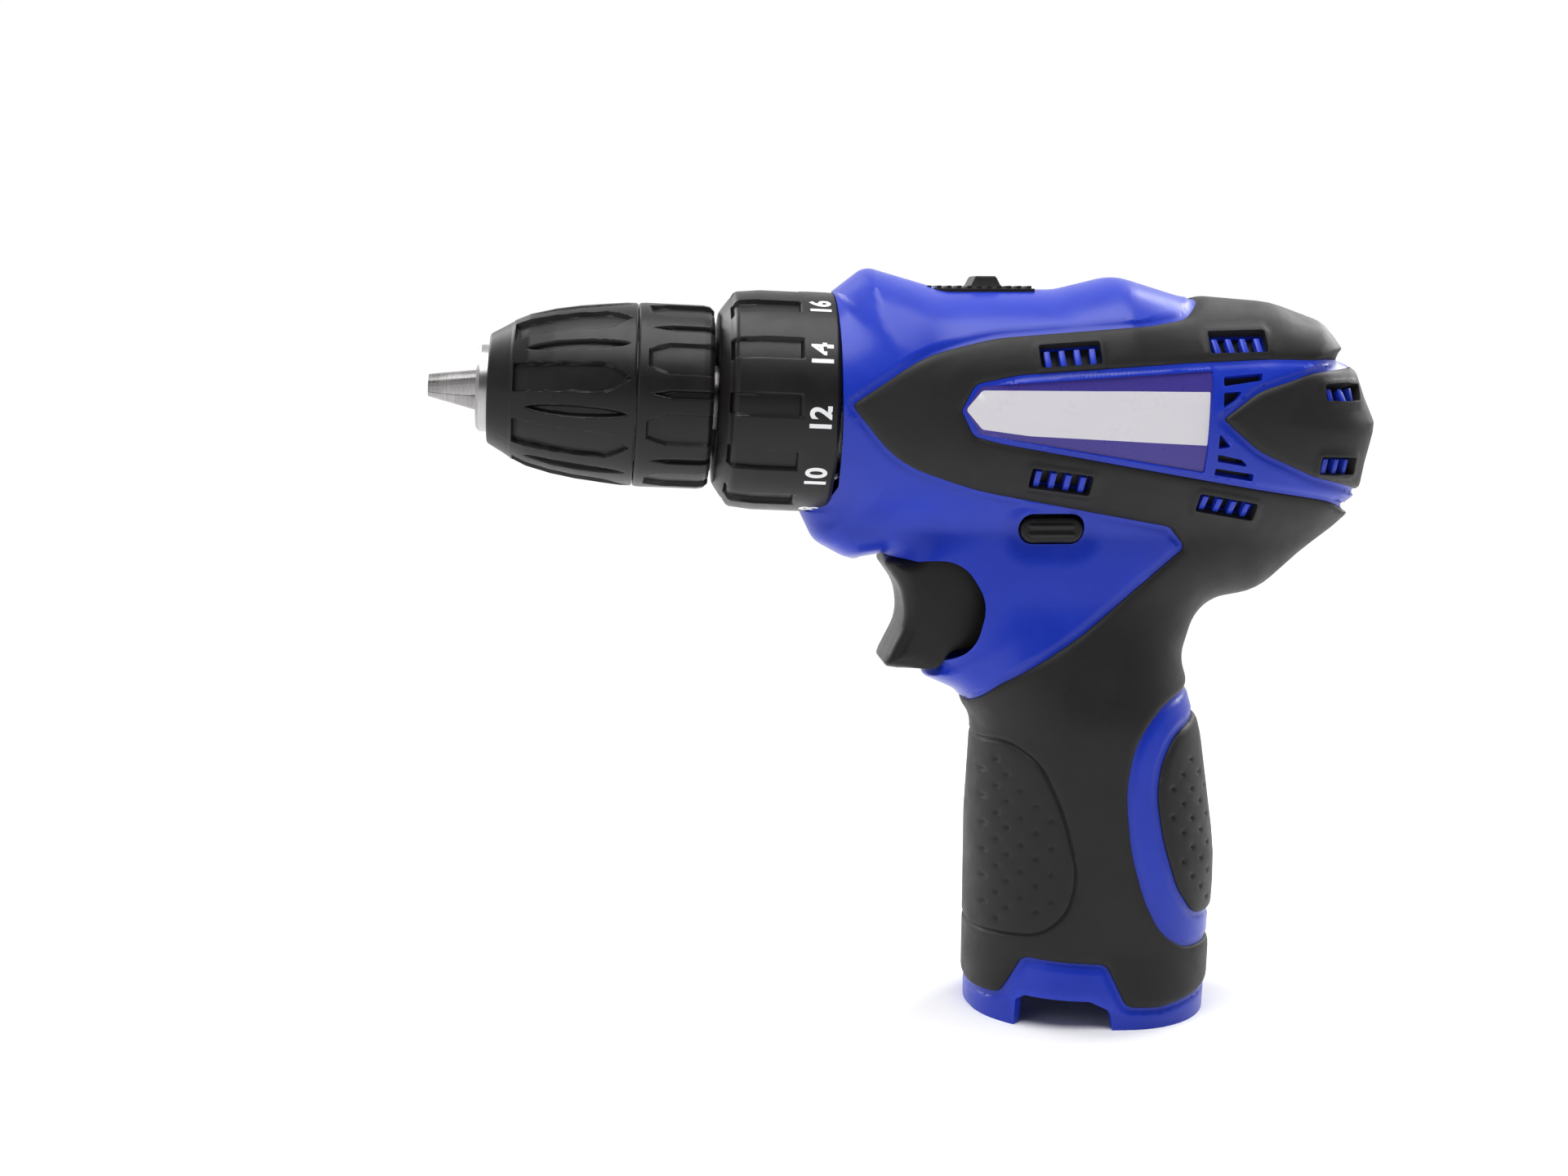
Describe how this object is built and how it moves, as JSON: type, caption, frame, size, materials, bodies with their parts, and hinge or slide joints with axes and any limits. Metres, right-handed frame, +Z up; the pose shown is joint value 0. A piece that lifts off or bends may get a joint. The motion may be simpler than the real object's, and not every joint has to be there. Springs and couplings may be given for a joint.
{
  "type": "cordless drill driver",
  "caption": "Compact pistol-grip cordless drill with keyless three-jaw chuck, torque ring, two-speed planetary gearbox, trigger and empty battery socket.",
  "frame": {"origin": "centre of the battery socket mouth, on the plane the drill stands on", "axes": "+X from the nose to the rear, +Z up the grip, -Y is the tool's left side; the mouth faces -Z"},
  "size_m": [0.207, 0.053, 0.1628],
  "materials": {
    "blue_plastic": "satin moulded royal blue",
    "soft_grip": "matte soft overmould",
    "label": "printed label, no lettering",
    "black_plastic": "fine moulded texture",
    "case_plastic": "glass-filled nylon",
    "machined_steel": "turned and ground",
    "turned_alloy": "turned, satin",
    "gear_steel": "sintered",
    "screw_steel": "black oxide",
    "spring_steel": "drawn wire",
    "zinc": "zinc plate",
    "magnet": "sintered ferrite",
    "bronze": "sintered bronze",
    "winding": "laminations and copper winding",
    "contact_brass": "stamped strip",
    "lens": "clear lens",
    "lead": "insulated wire"
  },
  "bodies": {
    "drill": {"left_housing": "blue_plastic", "right_housing": "blue_plastic", "left_overmould": "soft_grip", "right_overmould": "soft_grip", "rear_cap": "soft_grip", "left_nameplate": "label", "right_nameplate": "label", "housing_screws": "screw_steel", "spindle_bush": "bronze", "clutch_washer": "machined_steel", "clutch_pins": "machined_steel", "clutch_retainer": "machined_steel", "clutch_spring": "spring_steel", "gearbox_nose": "case_plastic", "gearbox_case": "case_plastic", "ring_gear_front": "gear_steel", "ring_gear_rear": "case_plastic", "motor_plate": "zinc", "motor_can": "zinc", "magnets": "magnet", "motor_end_cap": "black_plastic", "switch_body": "case_plastic", "trigger_spring": "spring_steel", "lamp_lens": "lens", "terminal_block": "black_plastic", "contacts": "contact_brass", "motor_leads": "lead"},
    "rotor": {"armature": "winding"},
    "first_carrier": {"carrier_1": "gear_steel"},
    "second_carrier": {"carrier_2": "gear_steel"},
    "chuck": {"spindle": "machined_steel", "spindle_clip": "screw_steel", "chuck_body": "turned_alloy", "chuck_rear_sleeve": "black_plastic", "chuck_screw": "screw_steel"},
    "sleeve": {"chuck_front_sleeve": "black_plastic", "chuck_nut": "machined_steel", "chuck_thrust_race": "machined_steel"},
    "jaw_one": {"chuck_jaw_1": "machined_steel"},
    "jaw_two": {"chuck_jaw_2": "machined_steel"},
    "jaw_three": {"chuck_jaw_3": "machined_steel"},
    "torque_ring": {"clutch_ring": "black_plastic"},
    "adjuster": {"clutch_nut": "black_plastic"},
    "selector": {"speed_selector": "black_plastic", "shift_fork": "spring_steel", "ring_gear_shift": "gear_steel"},
    "finger_trigger": {"trigger": "black_plastic"},
    "direction": {"direction_button": "black_plastic"},
    "planet_body_1a": {"planet_1a": "case_plastic"},
    "planet_body_1b": {"planet_1b": "case_plastic"},
    "planet_body_1c": {"planet_1c": "case_plastic"},
    "planet_body_2a": {"planet_2a": "gear_steel"},
    "planet_body_2b": {"planet_2b": "gear_steel"},
    "planet_body_2c": {"planet_2c": "gear_steel"},
    "planet_body_3a": {"planet_3a": "gear_steel"},
    "planet_body_3b": {"planet_3b": "gear_steel"},
    "planet_body_3c": {"planet_3c": "gear_steel"}
  },
  "joints": [
    {"name": "motor_spin", "type": "hinge", "parent": "drill", "child": "rotor", "pos_m": [0, 0, 0.131], "axis": [0.9991, 0, -0.0419], "continuous": true},
    {"name": "first_carrier_spin", "type": "hinge", "parent": "drill", "child": "first_carrier", "pos_m": [0, 0, 0.131], "axis": [0.9991, 0, -0.0419], "continuous": true},
    {"name": "second_carrier_spin", "type": "hinge", "parent": "drill", "child": "second_carrier", "pos_m": [0, 0, 0.131], "axis": [0.9991, 0, -0.0419], "continuous": true},
    {"name": "chuck_spin", "type": "hinge", "parent": "drill", "child": "chuck", "pos_m": [0, 0, 0.131], "axis": [0.9991, 0, -0.0419], "continuous": true},
    {"name": "planet_1a_spin", "type": "hinge", "parent": "first_carrier", "child": "planet_body_1a", "pos_m": [-0.01749, 0, 0.12198], "axis": [0.9991, 0, -0.0419], "continuous": true},
    {"name": "planet_1b_spin", "type": "hinge", "parent": "first_carrier", "child": "planet_body_1b", "pos_m": [-0.01688, 0.00844, 0.13659], "axis": [0.9991, 0, -0.0419], "continuous": true},
    {"name": "planet_1c_spin", "type": "hinge", "parent": "first_carrier", "child": "planet_body_1c", "pos_m": [-0.01688, -0.00844, 0.13659], "axis": [0.9991, 0, -0.0419], "continuous": true},
    {"name": "planet_2a_spin", "type": "hinge", "parent": "second_carrier", "child": "planet_body_2a", "pos_m": [-0.02948, 0, 0.12248], "axis": [0.9991, 0, -0.0419], "continuous": true},
    {"name": "planet_2b_spin", "type": "hinge", "parent": "second_carrier", "child": "planet_body_2b", "pos_m": [-0.02887, 0.00844, 0.13709], "axis": [0.9991, 0, -0.0419], "continuous": true},
    {"name": "planet_2c_spin", "type": "hinge", "parent": "second_carrier", "child": "planet_body_2c", "pos_m": [-0.02887, -0.00844, 0.13709], "axis": [0.9991, 0, -0.0419], "continuous": true},
    {"name": "planet_3a_spin", "type": "hinge", "parent": "chuck", "child": "planet_body_3a", "pos_m": [-0.04147, 0, 0.12298], "axis": [0.9991, 0, -0.0419], "continuous": true},
    {"name": "planet_3b_spin", "type": "hinge", "parent": "chuck", "child": "planet_body_3b", "pos_m": [-0.04086, 0.00844, 0.13759], "axis": [0.9991, 0, -0.0419], "continuous": true},
    {"name": "planet_3c_spin", "type": "hinge", "parent": "chuck", "child": "planet_body_3c", "pos_m": [-0.04086, -0.00844, 0.13759], "axis": [0.9991, 0, -0.0419], "continuous": true},
    {"name": "sleeve_turn", "type": "hinge", "parent": "chuck", "child": "sleeve", "pos_m": [0, 0, 0.131], "axis": [0.9991, 0, -0.0419], "range_deg": [0, 5760]},
    {"name": "jaw_one_slide", "type": "slide", "parent": "chuck", "child": "jaw_one", "axis": [0.9593, 0, -0.2823], "range_m": [0, 0.0206]},
    {"name": "jaw_two_slide", "type": "slide", "parent": "chuck", "child": "jaw_two", "axis": [0.9745, 0.2095, 0.0802], "range_m": [0, 0.0206]},
    {"name": "jaw_three_slide", "type": "slide", "parent": "chuck", "child": "jaw_three", "axis": [0.9745, -0.2095, 0.0802], "range_m": [0, 0.0206]},
    {"name": "torque_ring_turn", "type": "hinge", "parent": "drill", "child": "torque_ring", "pos_m": [0, 0, 0.131], "axis": [0.9991, 0, -0.0419], "range_deg": [-284, 17], "deforming": ["clutch_spring"]},
    {"name": "adjuster_slide", "type": "slide", "parent": "torque_ring", "child": "adjuster", "axis": [0.9991, 0, -0.0419], "range_m": [-0.00475, 0.0003]},
    {"name": "selector_slide", "type": "slide", "parent": "drill", "child": "selector", "axis": [0.9991, 0, -0.0419], "range_m": [0, 0.006]},
    {"name": "trigger_pull", "type": "slide", "parent": "drill", "child": "finger_trigger", "axis": [1, 0, 0], "range_m": [0, 0.0065], "stiffness_N_per_m": 600, "springref_m": -0.006, "deforming": ["trigger_spring"]},
    {"name": "direction_slide", "type": "slide", "parent": "drill", "child": "direction", "axis": [0, 1, 0], "range_m": [-0.0025, 0.0025]}
  ],
  "couplings": [
    {"joint": "first_carrier_spin", "follows": "motor_spin", "ratio": 0.25},
    {"joint": "second_carrier_spin", "follows": "motor_spin", "ratio": 0.0625},
    {"joint": "chuck_spin", "follows": "motor_spin", "ratio": 0.015625},
    {"joint": "planet_1a_spin", "follows": "motor_spin", "ratio": -0.75},
    {"joint": "planet_1b_spin", "follows": "motor_spin", "ratio": -0.75},
    {"joint": "planet_1c_spin", "follows": "motor_spin", "ratio": -0.75},
    {"joint": "planet_2a_spin", "follows": "motor_spin", "ratio": -0.1875},
    {"joint": "planet_2b_spin", "follows": "motor_spin", "ratio": -0.1875},
    {"joint": "planet_2c_spin", "follows": "motor_spin", "ratio": -0.1875},
    {"joint": "planet_3a_spin", "follows": "motor_spin", "ratio": -0.046875},
    {"joint": "planet_3b_spin", "follows": "motor_spin", "ratio": -0.046875},
    {"joint": "planet_3c_spin", "follows": "motor_spin", "ratio": -0.046875},
    {"joint": "jaw_one_slide", "follows": "sleeve_turn", "m_per_rad": 0.00020491},
    {"joint": "jaw_two_slide", "follows": "sleeve_turn", "m_per_rad": 0.00020491},
    {"joint": "jaw_three_slide", "follows": "sleeve_turn", "m_per_rad": 0.00020491},
    {"joint": "adjuster_slide", "follows": "torque_ring_turn", "m_per_rad": 0.000955}
  ]
}
